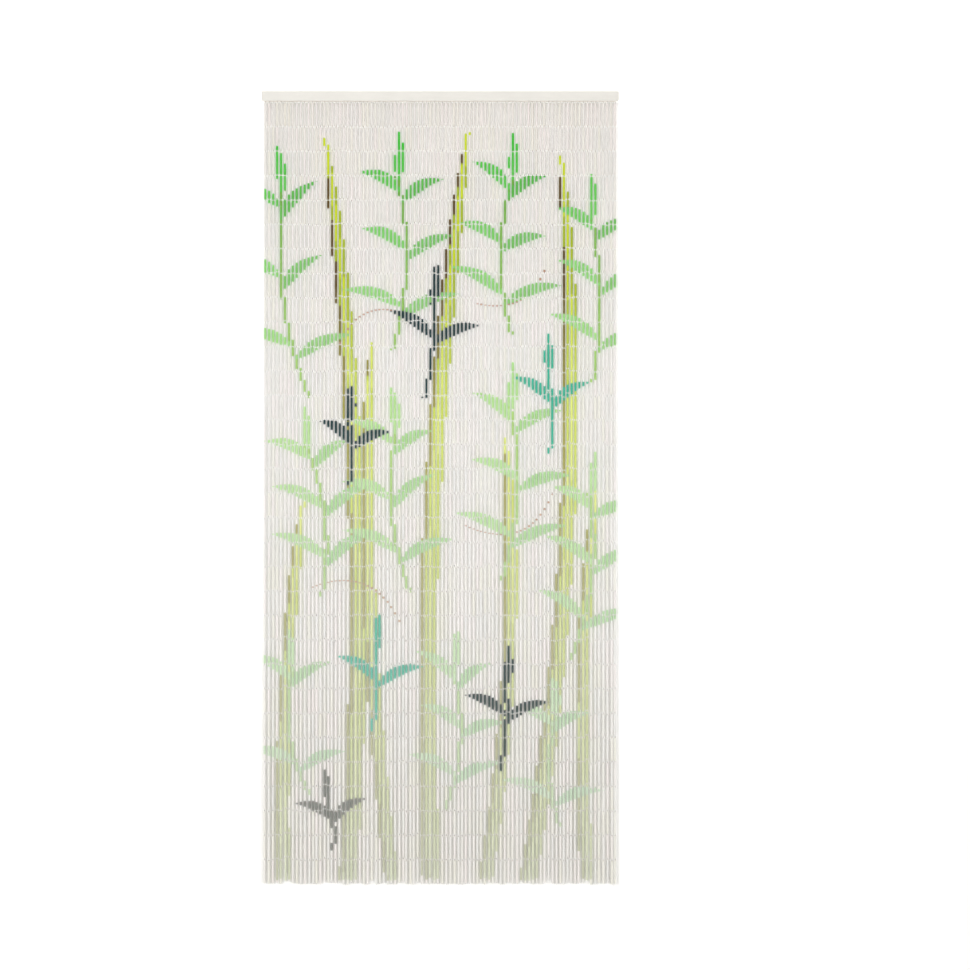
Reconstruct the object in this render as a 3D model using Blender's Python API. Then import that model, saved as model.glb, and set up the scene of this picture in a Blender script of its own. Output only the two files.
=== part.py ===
"""Bamboo door curtain: a wooden header bar and ninety strings of bamboo tubes.

Units are metres, +Z is up and the front looks along -Y. The origin is the middle of the header
bar's back face, which lies against a wall or a door frame. The strings hang from a narrow strip
that is let into a groove in the bar's underside.
"""

import math

import bmesh
import bpy
import numpy as np

# Header bar
BAR_LENGTH = 0.900
BAR_HEIGHT = 0.025
BAR_DEPTH = 0.015
BAR_UPPER_RADIUS = 0.0015
BAR_LOWER_RADIUS = 0.0045
BAR_CORNER_STEPS = 4
BAR_EDGE_BEVEL = 0.0008
BAR_BEVEL_SEGMENTS = 2

# Whole curtain, bar included
CURTAIN_HEIGHT = 2.000

# Strings, each a row of tubes drawn here as one four-sided bar whose section has a tube's area
STRING_COUNT = 90
STRING_PITCH = 0.0099
TUBE_DIAMETER = 0.0056
STRING_SIDE = TUBE_DIAMETER * math.sqrt(math.pi) / 2
STRING_SECTIONS = 6

# How the strings hang: the spread and the limit of each string's own lean, bow and depth at the
# hem, the drift that neighbours share, and how unevenly the lower ends finish
STRING_SEED = 41
LEAN_POWER = 1.4
LEAN_SPREAD = 0.0009
LEAN_LIMIT = 0.0012
BOW_SPREAD = 0.0003
BOW_LIMIT = 0.0005
DRIFT_SIZE = 0.0014
DRIFT_WAVES = 4.5
DEPTH_SPREAD = 0.0007
DEPTH_LIMIT = 0.0014
HEM_SPREAD = 0.0042
HEM_LIMIT = 0.0115

# Strip that carries the strings, and the groove that takes it
STRIP_HEIGHT = 0.006
STRIP_MARGIN = 0.0006
SEAT_GAP = 0.0003
CUTTER_OVERRUN = 0.002

# Places that follow from the sizes
BAR_UNDERSIDE = -BAR_HEIGHT / 2
STRING_Y = -BAR_DEPTH / 2
HEM_Z = BAR_HEIGHT / 2 - CURTAIN_HEIGHT
STRIP_LENGTH = (STRING_COUNT - 1) * STRING_PITCH + STRING_SIDE + 2 * STRIP_MARGIN

# Finishes: linear base colour, roughness
CREAM_PAINT = ("cream_paint", (0.84, 0.80, 0.73, 1.0), 0.45)
PALE_BAMBOO = ("pale_bamboo", (0.80, 0.76, 0.67, 1.0), 0.50)


def clear_scene():
    """Removes every object that the file starts with."""
    for existing in list(bpy.data.objects):
        bpy.data.objects.remove(existing, do_unlink=True)


def make_material(name, colour, roughness):
    """Returns a non-metallic Principled material."""
    material = bpy.data.materials.new(name)
    material.use_nodes = True
    shader = material.node_tree.nodes["Principled BSDF"]
    shader.inputs["Base Color"].default_value = colour
    shader.inputs["Roughness"].default_value = roughness
    shader.inputs["Metallic"].default_value = 0.0
    return material


def add_object(name, bm, parent, finish=None):
    """Turns a bmesh into a named object under the given empty."""
    mesh = bpy.data.meshes.new(name)
    bm.to_mesh(mesh)
    bm.free()
    placed = bpy.data.objects.new(name, mesh)
    bpy.context.scene.collection.objects.link(placed)
    placed.parent = parent
    if finish:
        mesh.materials.append(make_material(*finish))
    return placed


def corner_arc(centre_x, centre_z, radius, start_degrees):
    """Returns the points of a quarter circle, turning clockwise from start_degrees."""
    steps = range(BAR_CORNER_STEPS + 1)
    turns = [math.radians(start_degrees - 90 * step / BAR_CORNER_STEPS) for step in steps]
    return [(centre_x + radius * math.cos(turn), centre_z + radius * math.sin(turn)) for turn in turns]


def bar_outline():
    """Returns the bar's front outline in X and Z, clockwise from the upper left corner."""
    half_length = BAR_LENGTH / 2
    half_height = BAR_HEIGHT / 2
    upper_x = half_length - BAR_UPPER_RADIUS
    upper_z = half_height - BAR_UPPER_RADIUS
    lower_x = half_length - BAR_LOWER_RADIUS
    lower_z = half_height - BAR_LOWER_RADIUS
    return (
        corner_arc(-upper_x, upper_z, BAR_UPPER_RADIUS, 180)
        + corner_arc(upper_x, upper_z, BAR_UPPER_RADIUS, 90)
        + corner_arc(lower_x, -lower_z, BAR_LOWER_RADIUS, 0)
        + corner_arc(-lower_x, -lower_z, BAR_LOWER_RADIUS, -90)
    )


def make_groove_cutter(parent):
    """A box that cuts the strip's groove, open below and a seat gap larger than the strip."""
    length = STRIP_LENGTH + 2 * SEAT_GAP
    width = STRING_SIDE + 2 * SEAT_GAP
    height = STRIP_HEIGHT + SEAT_GAP + CUTTER_OVERRUN
    bm = bmesh.new()
    bmesh.ops.create_cube(bm, size=1.0)
    bmesh.ops.scale(bm, vec=(length, width, height), verts=bm.verts)
    cutter = add_object("groove_cutter", bm, parent)
    cutter.location = (0.0, STRING_Y, BAR_UNDERSIDE - CUTTER_OVERRUN + height / 2)
    cutter.hide_render = True
    cutter.display_type = "WIRE"
    return cutter


def make_header_bar(parent):
    """The wooden lath: its outline extruded front to back, rims bevelled, with the groove cut."""
    bm = bmesh.new()
    front = bm.faces.new([bm.verts.new((x, -BAR_DEPTH, z)) for x, z in bar_outline()])
    extruded = bmesh.ops.extrude_face_region(bm, geom=[front])
    moved = [item for item in extruded["geom"] if isinstance(item, bmesh.types.BMVert)]
    bmesh.ops.translate(bm, vec=(0.0, BAR_DEPTH, 0.0), verts=moved)
    bmesh.ops.recalc_face_normals(bm, faces=bm.faces)
    rims = [edge for edge in bm.edges if edge.verts[0].co.y == edge.verts[1].co.y]
    bmesh.ops.bevel(bm, geom=rims, offset=BAR_EDGE_BEVEL, segments=BAR_BEVEL_SEGMENTS, affect="EDGES")
    bar = add_object("header_bar", bm, parent, CREAM_PAINT)
    groove = bar.modifiers.new("groove", "BOOLEAN")
    groove.operation = "DIFFERENCE"
    groove.object = make_groove_cutter(parent)


def string_paths():
    """Returns each string's centre line as an array of strings, levels and X, Y, Z.

    A string hangs straight down from its root. Its lean grows with a power of the depth, its bow is
    one half wave, and a slow wave along the bar moves neighbours together. Lower ends stop short of
    the hem by differing amounts, and the longest string reaches it.
    """
    rng = np.random.default_rng(STRING_SEED)
    count = STRING_COUNT
    lean = rng.normal(0.0, LEAN_SPREAD, count).clip(-LEAN_LIMIT, LEAN_LIMIT)
    bow = rng.normal(0.0, BOW_SPREAD, count).clip(-BOW_LIMIT, BOW_LIMIT)
    sway = rng.normal(0.0, DEPTH_SPREAD, count).clip(-DEPTH_LIMIT, DEPTH_LIMIT)
    short = np.abs(rng.normal(0.0, HEM_SPREAD, count)).clip(0.0, HEM_LIMIT)
    short -= short.min()

    place = np.arange(count) - (count - 1) / 2
    drift = DRIFT_SIZE * np.sin(2 * np.pi * DRIFT_WAVES * place / count)
    down = np.linspace(0.0, 1.0, STRING_SECTIONS + 1)
    grown = down**LEAN_POWER
    across = (place * STRING_PITCH)[:, None]
    paths = np.empty((count, STRING_SECTIONS + 1, 3))
    paths[:, :, 0] = across + (lean + drift)[:, None] * grown + bow[:, None] * np.sin(np.pi * down)
    paths[:, :, 1] = STRING_Y + sway[:, None] * grown
    paths[:, :, 2] = BAR_UNDERSIDE + (HEM_Z + short - BAR_UNDERSIDE)[:, None] * down
    return paths


def make_bead_strings(parent):
    """The strip and its strings as one closed body.

    The strip's underside is a row of cells, a margin, then string and gap by turns. It is extruded
    up into the strip, and each string's cell is extruded down its centre line, section by section.
    """
    paths = string_paths()
    half = STRING_SIDE / 2
    roots = paths[:, 0, 0]
    lines = np.sort(np.concatenate([roots - half, roots + half, [-STRIP_LENGTH / 2, STRIP_LENGTH / 2]]))
    bm = bmesh.new()
    front = [bm.verts.new((x, STRING_Y - half, BAR_UNDERSIDE)) for x in lines]
    back = [bm.verts.new((x, STRING_Y + half, BAR_UNDERSIDE)) for x in lines]
    cells = []
    for cell in range(len(lines) - 1):
        cells.append(bm.faces.new((front[cell], back[cell], back[cell + 1], front[cell + 1])))
    upper = bmesh.ops.extrude_face_region(bm, geom=cells, use_keep_orig=True)
    raised = [item for item in upper["geom"] if isinstance(item, bmesh.types.BMVert)]
    bmesh.ops.translate(bm, vec=(0.0, 0.0, STRIP_HEIGHT), verts=raised)

    steps = np.diff(paths, axis=1)
    for string, root in enumerate(cells[1::2]):
        tip = root
        for step in steps[string]:
            tip = bmesh.ops.extrude_discrete_faces(bm, faces=[tip])["faces"][0]
            bmesh.ops.translate(bm, vec=step, verts=tip.verts)
    bmesh.ops.recalc_face_normals(bm, faces=bm.faces)
    add_object("bead_strings", bm, parent, PALE_BAMBOO)


def main():
    clear_scene()
    curtain = bpy.data.objects.new("curtain", None)
    bpy.context.scene.collection.objects.link(curtain)
    make_header_bar(curtain)
    make_bead_strings(curtain)


main()
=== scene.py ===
"""Looks of a bamboo door curtain on its header bar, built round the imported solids.

The file is laid out as a Blender add-on and is run as a script. Units are metres in the frame of
the solids: +Z is up, the front looks along -Y, and the origin is the middle of the bar's back face.
"""

import math

import bpy
import numpy as np
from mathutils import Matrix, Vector


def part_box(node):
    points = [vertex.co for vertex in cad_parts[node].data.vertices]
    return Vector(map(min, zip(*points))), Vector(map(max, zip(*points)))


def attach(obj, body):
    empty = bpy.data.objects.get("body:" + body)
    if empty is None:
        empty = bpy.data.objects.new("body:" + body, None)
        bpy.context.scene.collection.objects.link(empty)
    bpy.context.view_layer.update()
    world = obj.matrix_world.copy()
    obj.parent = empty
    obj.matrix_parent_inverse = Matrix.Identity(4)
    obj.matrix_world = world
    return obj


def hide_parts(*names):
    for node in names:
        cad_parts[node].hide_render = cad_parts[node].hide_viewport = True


bl_info = {
    "name": "Bamboo Door Curtain",
    "version": (1, 0, 0),
    "blender": (4, 5, 0),
    "location": "3D View > Sidebar > Curtain",
    "description": "Tubes, wire links, strip, finishes and studio of a bamboo door curtain",
    "category": "Add Mesh",
}

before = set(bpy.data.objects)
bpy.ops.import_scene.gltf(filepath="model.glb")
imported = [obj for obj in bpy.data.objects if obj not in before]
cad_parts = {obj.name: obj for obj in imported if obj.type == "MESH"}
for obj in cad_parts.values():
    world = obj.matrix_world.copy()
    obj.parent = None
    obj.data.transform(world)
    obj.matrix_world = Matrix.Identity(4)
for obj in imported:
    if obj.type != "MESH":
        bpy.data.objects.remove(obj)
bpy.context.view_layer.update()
BAR_LOW, BAR_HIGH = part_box("header_bar")
STRINGS_LOW, STRINGS_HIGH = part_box("bead_strings")

# Strings, as the solids have them
STRING_COUNT = 90
STRING_PITCH = 0.0099
TUBE_DIAMETER = 0.0056
STRING_SIDE = TUBE_DIAMETER * math.sqrt(math.pi) / 2
STRING_SEED = 41
LEAN_POWER = 1.4
LEAN_SPREAD, LEAN_LIMIT = 0.0009, 0.0012
BOW_SPREAD, BOW_LIMIT = 0.0003, 0.0005
DRIFT_SIZE, DRIFT_WAVES = 0.0014, 4.5
DEPTH_SPREAD, DEPTH_LIMIT = 0.0007, 0.0014
HEM_SPREAD, HEM_LIMIT = 0.0042, 0.0115
STRIP_MARGIN = 0.0006

BAR_UNDERSIDE = BAR_LOW.z
STRING_Y = (BAR_LOW.y + BAR_HIGH.y) / 2
HEM_Z = STRINGS_LOW.z
STRIP_LENGTH = (STRING_COUNT - 1) * STRING_PITCH + STRING_SIDE + 2 * STRIP_MARGIN

# How tubes differ from each other, as shares of a size or in metres
TUBE_SEED = 7
TUBES_PER_STRING = 32
LENGTH_SPREAD = 0.012
GAP_SPREAD = 0.07
THICKNESS_SPREAD, THICKNESS_LIMIT = 0.03, 0.08
TAPER_SPREAD = 0.008
SWELL, SWELL_RADIANS = 0.008, 5
BOW_OF_TUBE = 0.00005
JOINT_SPREAD_X, JOINT_SPREAD_Y, JOINT_LIMIT = 0.00006, 0.00020, 0.0005
TUBE_SIDES = 10
LEAST_CUT = 0.0011
MOST_CUTS = 6
TUBE_PIECES = 10

BORE_ON_MAP = 0.002
MAP_MARGIN = 0.06
MAP_COLUMNS, MAP_ROWS = 36, 8

# Wire links and strip
LINK_SEED = 19
LINK_PIECES = 5
EYE_STEPS, WIRE_SIDES = 8, 4
EYE_TURN_SPREAD = 0.35
ROOT_STEM_DEPTH = 0.003
STRIP_STATIONS = 31
STRIP_CORNER_STEPS = 3
STRIP_CORNER_RADIUS = 0.0004

# Faces that meet at more than this many degrees meet at a sharp edge
SHARP_ANGLE = 42

# The print's grid of strings and heights
PRINT_STEP = 0.0012
NO_INK = 0


def srgb(red, green, blue):
    """Returns the linear colour of a display colour given from 0 to 255."""
    shown = [value / 255 for value in (red, green, blue)]
    return tuple(v / 12.92 if v <= 0.04045 else ((v + 0.055) / 1.055) ** 2.4 for v in shown)


def length_property(name, description, default):
    """A size in metres."""
    return bpy.props.FloatProperty(
        name=name,
        description=description,
        default=default,
        min=0.0,
        precision=5,
        subtype="DISTANCE",
        unit="LENGTH",
    )


def number_property(name, description, default, unit="NONE"):
    """A plain number, or a power or a focal length by its unit."""
    return bpy.props.FloatProperty(
        name=name, description=description, default=default, min=0.0, unit=unit
    )


def share_property(name, description, default):
    """A share from 0 to 1."""
    return bpy.props.FloatProperty(
        name=name, description=description, default=default, min=0.0, max=1.0, subtype="FACTOR"
    )


def colour_property(name, description, default):
    """A linear colour."""
    return bpy.props.FloatVectorProperty(
        name=name, description=description, default=default, min=0.0, max=1.0, size=3, subtype="COLOR"
    )


class CurtainTubeSettings(bpy.types.PropertyGroup):
    """Sizes of the bamboo tubes."""

    diameter: length_property("Diameter", "Outer diameter of a tube", TUBE_DIAMETER)
    bore: share_property("Bore", "Bore of a tube as a share of its diameter", 0.44)
    end_round: length_property("End rounding", "How far a sawn end is rubbed round", 0.00045)
    root_drop: length_property("Root drop", "From the bar's underside to the first tube", 0.0039)
    gap: length_property("Gap", "From one tube to the next", 0.0030)


class CurtainLinkSettings(bpy.types.PropertyGroup):
    """Sizes of the wire links."""

    wire: length_property("Wire", "Thickness of the link wire", 0.0007)
    eye: length_property("Eye", "Diameter of an eye at the middle of its wire", 0.0020)
    screw_wire: length_property("Screw wire", "Thickness of a root eye's stem", 0.0010)


class CurtainFinishSettings(bpy.types.PropertyGroup):
    """Colours and finishes of bamboo, paint, wire and wood."""

    cream: colour_property("Cream", "Usual coat on the tubes", srgb(237, 236, 234))
    blush: colour_property("Blush", "Tubes whose coat leans to pink", srgb(239, 234, 233))
    straw: colour_property("Straw", "Tubes whose coat leans to yellow", srgb(236, 235, 227))
    ash: colour_property("Ash", "Tubes whose coat leans to grey", srgb(232, 232, 231))
    # High, upper, lower and low are painted shade: the coat is darkest at the top and a little darker at
    # the hem, standing in for weaker light there
    high: colour_property("High", "What the coat is multiplied by at the top", (0.83, 0.806, 0.779))
    upper: colour_property("Upper", "The same a third of the way down", (0.912, 0.907, 0.895))
    lower: colour_property("Lower", "The same two thirds of the way down", (0.965, 0.96, 0.947))
    low: colour_property("Low", "The same at the hem", (0.94, 0.93, 0.902))
    cut: colour_property("Sawn end", "Raw bamboo at a tube's ends and in its bore", srgb(206, 180, 138))
    bar: colour_property("Bar", "Paint on the header bar", srgb(216, 213, 206))
    strip: colour_property("Strip", "Wood of the hanging strip", srgb(226, 212, 188))
    wire: colour_property("Wire", "Dulled zinc-coated wire", srgb(148, 143, 139))
    coat_roughness: share_property("Coat roughness", "Roughness of the coat on tubes", 0.5)
    tube_gloss: share_property("Tube gloss", "Strength of the gloss on tubes", 0.22)


class CurtainStageSettings(bpy.types.PropertyGroup):
    """Wall, floor, light and camera."""

    wall_gap: length_property("Wall gap", "From the bar's back to the wall", 0.0008)
    floor_drop: length_property("Floor drop", "From the hem to the floor", 0.27)
    lens: number_property("Lens", "Focal length of the camera in millimetres", 100.0, "CAMERA")
    key: number_property("Key", "Power of the large soft light in front", 140.0, "POWER")
    fill: number_property("Fill", "Power of the soft light from the right", 94.0, "POWER")
    top: number_property("Top", "Power of the soft light above", 13.0, "POWER")
    back: number_property("Back", "Power of the soft light behind the wall", 58.0, "POWER")
    # The wall's glow is painted light, which lifts the shade that the curtain and the bar cast on it
    glow_high: number_property("Upper glow", "Light that the wall gives off high up", 0.095)
    glow_low: number_property("Lower glow", "Light that the wall gives off at the hem", 0.0)
    glow_behind: number_property("Glow behind", "Light of the wall behind the bar", 0.55)
    floor_lift: number_property("Floor lift", "Light added where the camera sees the floor", 0.6)
    sky: number_property("Sky", "Strength of the light from all round", 0.36)


# Mesh helpers


def write_mesh(name, points, quads):
    """Makes an object of four-cornered faces from an array of points and an array of corners."""
    mesh = bpy.data.meshes.new(name)
    mesh.vertices.add(len(points))
    mesh.vertices.foreach_set("co", np.ascontiguousarray(points, dtype=np.float32).ravel())
    mesh.loops.add(quads.size)
    mesh.loops.foreach_set("vertex_index", np.ascontiguousarray(quads, dtype=np.int32).ravel())
    mesh.polygons.add(len(quads))
    mesh.polygons.foreach_set("loop_start", np.arange(0, quads.size, 4, dtype=np.int32))
    mesh.update(calc_edges=True)
    mesh.shade_smooth()
    mesh.set_sharp_from_angle(angle=math.radians(SHARP_ANGLE))
    placed = bpy.data.objects.new(name, mesh)
    bpy.context.scene.collection.objects.link(placed)
    return placed


def add_face_values(piece, name, kind, values):
    """Stores one number or one colour a face under a name that materials read."""
    made = piece.data.attributes.new(name, kind, "FACE")
    field = "color" if kind == "FLOAT_COLOR" else "value"
    made.data.foreach_set(field, np.ascontiguousarray(values, dtype=np.float32).ravel())


def grid_quads(rows, columns, wrap_rows, wrap_columns):
    """Corners of the faces of one grid of points, rows by columns, closed where it wraps."""
    row = np.arange(rows if wrap_rows else rows - 1)[:, None]
    column = np.arange(columns if wrap_columns else columns - 1)[None, :]
    below = (row + 1) % rows
    beside = (column + 1) % columns
    corners = [
        row * columns + column,
        below * columns + column,
        below * columns + beside,
        row * columns + beside,
    ]
    shape = (row.size, column.size)
    return np.stack([np.broadcast_to(c, shape) for c in corners], axis=-1).reshape(-1, 4)


def closed_prism_quads(stations, around):
    """Corners of a profile's outline carried over its stations, with both ends closed.

    The outline has an even number of points, and an end's faces join them in pairs across it.
    """
    sides = grid_quads(stations, around, False, True)
    pair = np.arange(around // 2 - 1)
    start = np.stack([-pair % around, pair + 1, pair + 2, (-pair - 1) % around], axis=1)
    end = start[:, ::-1] + (stations - 1) * around
    return np.concatenate([sides, start, end])


def repeat_quads(quads, points_each, count):
    """Corners of count like grids whose points follow each other."""
    starts = points_each * np.arange(count)
    return (quads[None] + starts[:, None, None]).reshape(-1, 4)


def join_parts(parts):
    """Joins (points, quads) pairs into one pair, with the corners counted on."""
    points, quads, first = [], [], 0
    for part_points, part_quads in parts:
        points.append(part_points)
        quads.append(part_quads + first)
        first += len(part_points)
    return np.concatenate(points), np.concatenate(quads)


# Strings and tubes


def string_hang():
    """Returns the lean, bow, depth and hem of each string, drawn as the solids draw them."""
    rng = np.random.default_rng(STRING_SEED)
    lean = rng.normal(0.0, LEAN_SPREAD, STRING_COUNT).clip(-LEAN_LIMIT, LEAN_LIMIT)
    bow = rng.normal(0.0, BOW_SPREAD, STRING_COUNT).clip(-BOW_LIMIT, BOW_LIMIT)
    sway = rng.normal(0.0, DEPTH_SPREAD, STRING_COUNT).clip(-DEPTH_LIMIT, DEPTH_LIMIT)
    short = np.abs(rng.normal(0.0, HEM_SPREAD, STRING_COUNT)).clip(0.0, HEM_LIMIT)
    place = np.arange(STRING_COUNT) - (STRING_COUNT - 1) / 2
    drift = DRIFT_SIZE * np.sin(2 * np.pi * DRIFT_WAVES * place / STRING_COUNT)
    return {
        "root": place * STRING_PITCH,
        "lean": lean + drift,
        "bow": bow,
        "sway": sway,
        "hem": HEM_Z + short - short.min(),
    }


def line_at(hang, heights):
    """Points of each string's centre line at an array of heights, strings by heights.

    X is the root plus the lean times a power of the depth plus a half wave of bow, and Y is the
    middle of the bar plus the sway times the same power. Depth runs from 0 at the root to 1.
    """
    down = ((BAR_UNDERSIDE - heights) / (BAR_UNDERSIDE - hang["hem"])[:, None]).clip(0, 1)
    grown = down**LEAN_POWER
    bulge = hang["bow"][:, None] * np.sin(np.pi * down)
    across = hang["root"][:, None] + hang["lean"][:, None] * grown + bulge
    return np.stack([across, STRING_Y + hang["sway"][:, None] * grown, heights], axis=-1)


def hang_tubes(sizes, links):
    """Places every tube on its string and returns arrays of strings by tubes.

    A string's length, less its gaps, is shared among its tubes in slightly uneven shares. A tube's
    ends lie on the centre line, each joint moved a little, so that a tube tilts between its joints.
    """
    hang = string_hang()
    rng = np.random.default_rng(TUBE_SEED)
    shape = (STRING_COUNT, TUBES_PER_STRING)
    share = 1 + LENGTH_SPREAD * rng.standard_normal(shape)
    wider = (GAP_SPREAD * rng.standard_normal(shape)).clip(-2 * GAP_SPREAD, 2 * GAP_SPREAD)
    gaps = sizes.gap * (1 + wider)
    gaps[:, -1] = sizes.gap
    first_top = BAR_UNDERSIDE - sizes.root_drop
    end_eye = eye_lift(sizes.gap, links) + (links.eye + links.wire) / 2
    room = first_top - (hang["hem"][:, None] + end_eye) - gaps[:, :-1].sum(axis=1, keepdims=True)
    lengths = share * room / share.sum(axis=1, keepdims=True)
    bottoms = first_top - np.cumsum(lengths + gaps, axis=1) + gaps
    tops = bottoms + lengths

    moves = rng.standard_normal((STRING_COUNT, TUBES_PER_STRING + 1, 2))
    moves = (moves * (JOINT_SPREAD_X, JOINT_SPREAD_Y)).clip(-JOINT_LIMIT, JOINT_LIMIT)
    top = line_at(hang, tops)
    bottom = line_at(hang, bottoms)
    top[:, :, :2] += moves[:, :-1]
    bottom[:, :, :2] += moves[:, 1:]
    thicker = (THICKNESS_SPREAD * rng.standard_normal(shape)).clip(-THICKNESS_LIMIT, THICKNESS_LIMIT)
    return {
        "top": top,
        "bottom": bottom,
        "gap_above": np.roll(gaps, 1, axis=1),
        "gap_below": gaps,
        "length": lengths,
        "radius": sizes.diameter / 2 * (1 + thicker),
        "taper": TAPER_SPREAD * rng.standard_normal(shape),
        "bow": BOW_OF_TUBE * rng.standard_normal(shape + (2,)),
        "turn": rng.uniform(0, 2 * np.pi, shape),
        "tone": rng.uniform(0, 1, shape),
    }


# Print: tall grass blades, leafy sprigs and seed stalks, each laid as ink on the grid

# What each ink prints, and its display colours at the top, at the middle and at the foot
INKS = {
    "blade": ("Grass blades", (152, 170, 0), (196, 210, 94), (203, 207, 184)),
    "edge": ("Blade edges", (82, 58, 0), (156, 152, 74), (191, 193, 170)),
    "vein": ("Blade veins", (186, 202, 0), (212, 222, 122), (212, 216, 194)),
    "leaf": ("Leaves", (0, 176, 0), (177, 217, 146), (212, 222, 208)),
    "shade": ("Shaded leaves", (20, 158, 0), (160, 206, 134), (203, 216, 200)),
    "stem": ("Sprig stems", (72, 146, 6), (162, 200, 114), (202, 214, 190)),
    "navy": ("Dark sprigs", (8, 36, 40), (14, 52, 56), (84, 94, 90)),
    "teal": ("Teal sprigs", (14, 158, 120), (58, 172, 142), (132, 190, 174)),
    "ash": ("Grey sprigs", (60, 70, 62), (84, 90, 84), (134, 136, 130)),
    "stalk": ("Seed stalks", (150, 108, 86), (174, 138, 116), (196, 184, 160)),
}
INK_NAMES = tuple(INKS)
INK_PARTS = ("top", "middle", "foot")

# Inks of a green sprig's stem, leaves and shaded leaves; every other sprig is of one ink
GREEN_SPRIG = ("stem", "leaf", "shade")

# Base x and z, tip x and z, width at the foot, bend
BLADES = (
    (-0.395, -2.00, -0.345, -1.020, 0.034, -0.020),
    (-0.235, -2.00, -0.290, -0.105, 0.044, 0.050),
    (-0.120, -2.00, -0.175, -0.620, 0.036, -0.030),
    (-0.020, -2.00, 0.070, -0.090, 0.046, -0.045),
    (0.110, -2.00, 0.165, -0.860, 0.036, 0.035),
    (0.215, -2.00, 0.305, -0.150, 0.044, 0.060),
    (0.375, -2.00, 0.395, -0.980, 0.034, -0.025),
)

# Start x and z, end x and z, bend
STALKS = (
    (0.085, -0.520, 0.270, -0.420, 0.050),
    (-0.260, -0.640, -0.060, -0.560, -0.060),
    (0.060, -1.080, 0.290, -0.980, 0.070),
    (-0.100, -1.330, -0.330, -1.240, 0.060),
)

# Base x and z, tip x and z, bend, pairs of leaves, leaf length, leaf width, colour
SPRIGS = (
    (-0.330, -0.760, -0.395, -0.230, -0.035, 3, 0.155, 0.029, "green"),
    (-0.120, -0.640, -0.110, -0.200, 0.030, 3, 0.155, 0.029, "green"),
    (0.180, -0.600, 0.185, -0.200, -0.030, 3, 0.150, 0.029, "green"),
    (0.385, -0.720, 0.380, -0.300, 0.020, 3, 0.145, 0.028, "green"),
    (-0.300, -1.260, -0.340, -0.880, 0.030, 3, 0.150, 0.029, "green"),
    (-0.075, -1.250, -0.110, -0.840, -0.030, 3, 0.155, 0.029, "green"),
    (0.155, -1.220, 0.175, -0.780, 0.030, 3, 0.155, 0.029, "green"),
    (0.330, -1.420, 0.375, -1.000, 0.030, 3, 0.150, 0.029, "green"),
    (-0.330, -1.760, -0.370, -1.440, -0.030, 2, 0.145, 0.028, "green"),
    (0.010, -1.800, 0.030, -1.440, 0.030, 3, 0.145, 0.028, "green"),
    (0.300, -1.840, 0.290, -1.560, -0.020, 2, 0.140, 0.028, "green"),
    (-0.040, -0.760, -0.020, -0.520, 0.010, 1, 0.145, 0.028, "navy"),
    (-0.230, -0.980, -0.230, -0.820, 0.010, 1, 0.135, 0.027, "navy"),
    (0.275, -0.900, 0.270, -0.700, 0.010, 1, 0.145, 0.027, "teal"),
    (-0.175, -1.600, -0.165, -1.400, 0.010, 1, 0.140, 0.027, "teal"),
    (0.150, -1.700, 0.165, -1.480, 0.010, 1, 0.130, 0.026, "navy"),
    (-0.270, -1.900, -0.285, -1.780, 0.010, 1, 0.115, 0.025, "ash"),
)

PRINT_TOP = -0.081
PRINT_FOOT = -1.976
FOOT_SPREAD = 0.004
MIDDLE_INK_DEPTH = 0.38
INK_HOLDS = {"blade": 0.20, "edge": 0.20, "vein": 0.20}
PRINT_SEED = 5
STEM_HALF_WIDTH = 0.0052
STALK_HALF_WIDTH = 0.0016
VEIN_HALF_WIDTH = 0.0052

# A leaf's half width is a sine of its place to the first power, to the second power
LEAF_POWERS = (0.8, 0.85)

# A blade's tip closes by the first power, rounded by the second; the rest are shares of its width
BLADE_POWERS = (12, 0.8)
BLADE_TAPER = 0.14
EDGE_START = 0.5
VEIN_SHIFT = 0.1

# Where a sprig's pairs of leaves grow along its stem, how far a pair is staggered, the leaves'
# angles to the stem in degrees, and what is added to them at the stem's foot
PAIRS_FROM, PAIRS_TO, LONE_PAIR = 0.22, 0.88, 0.6
PAIR_STAGGER = 0.03
LEAF_ANGLES = (48, 66)
FOOT_ANGLE = 14

# How much shorter leaves are at the tip, how their lengths vary, their bend, and the leaf that
# ends the stem: its place, its share of a leaf's length and width, and its bend
LEAF_SHRINK = 0.22
LEAF_SIZES = (0.9, 1.08)
LEAF_BEND = 0.014
END_PLACE, END_LENGTH, END_WIDTH, END_BEND = 0.97, 0.8, 0.9, 0.004


def ink_properties():
    """A colour property for each part of each ink."""
    made = {}
    for ink, (what, *colours) in INKS.items():
        for part, colour in zip(INK_PARTS, colours):
            description = f"{what} at the {part} of the curtain"
            made[f"{ink}_{part}"] = colour_property(f"{what}, {part}", description, srgb(*colour))
    return made


class CurtainInkSettings(bpy.types.PropertyGroup):
    """Print colours at the top, at the middle and at the foot of the curtain."""

    __annotations__ = ink_properties()


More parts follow.
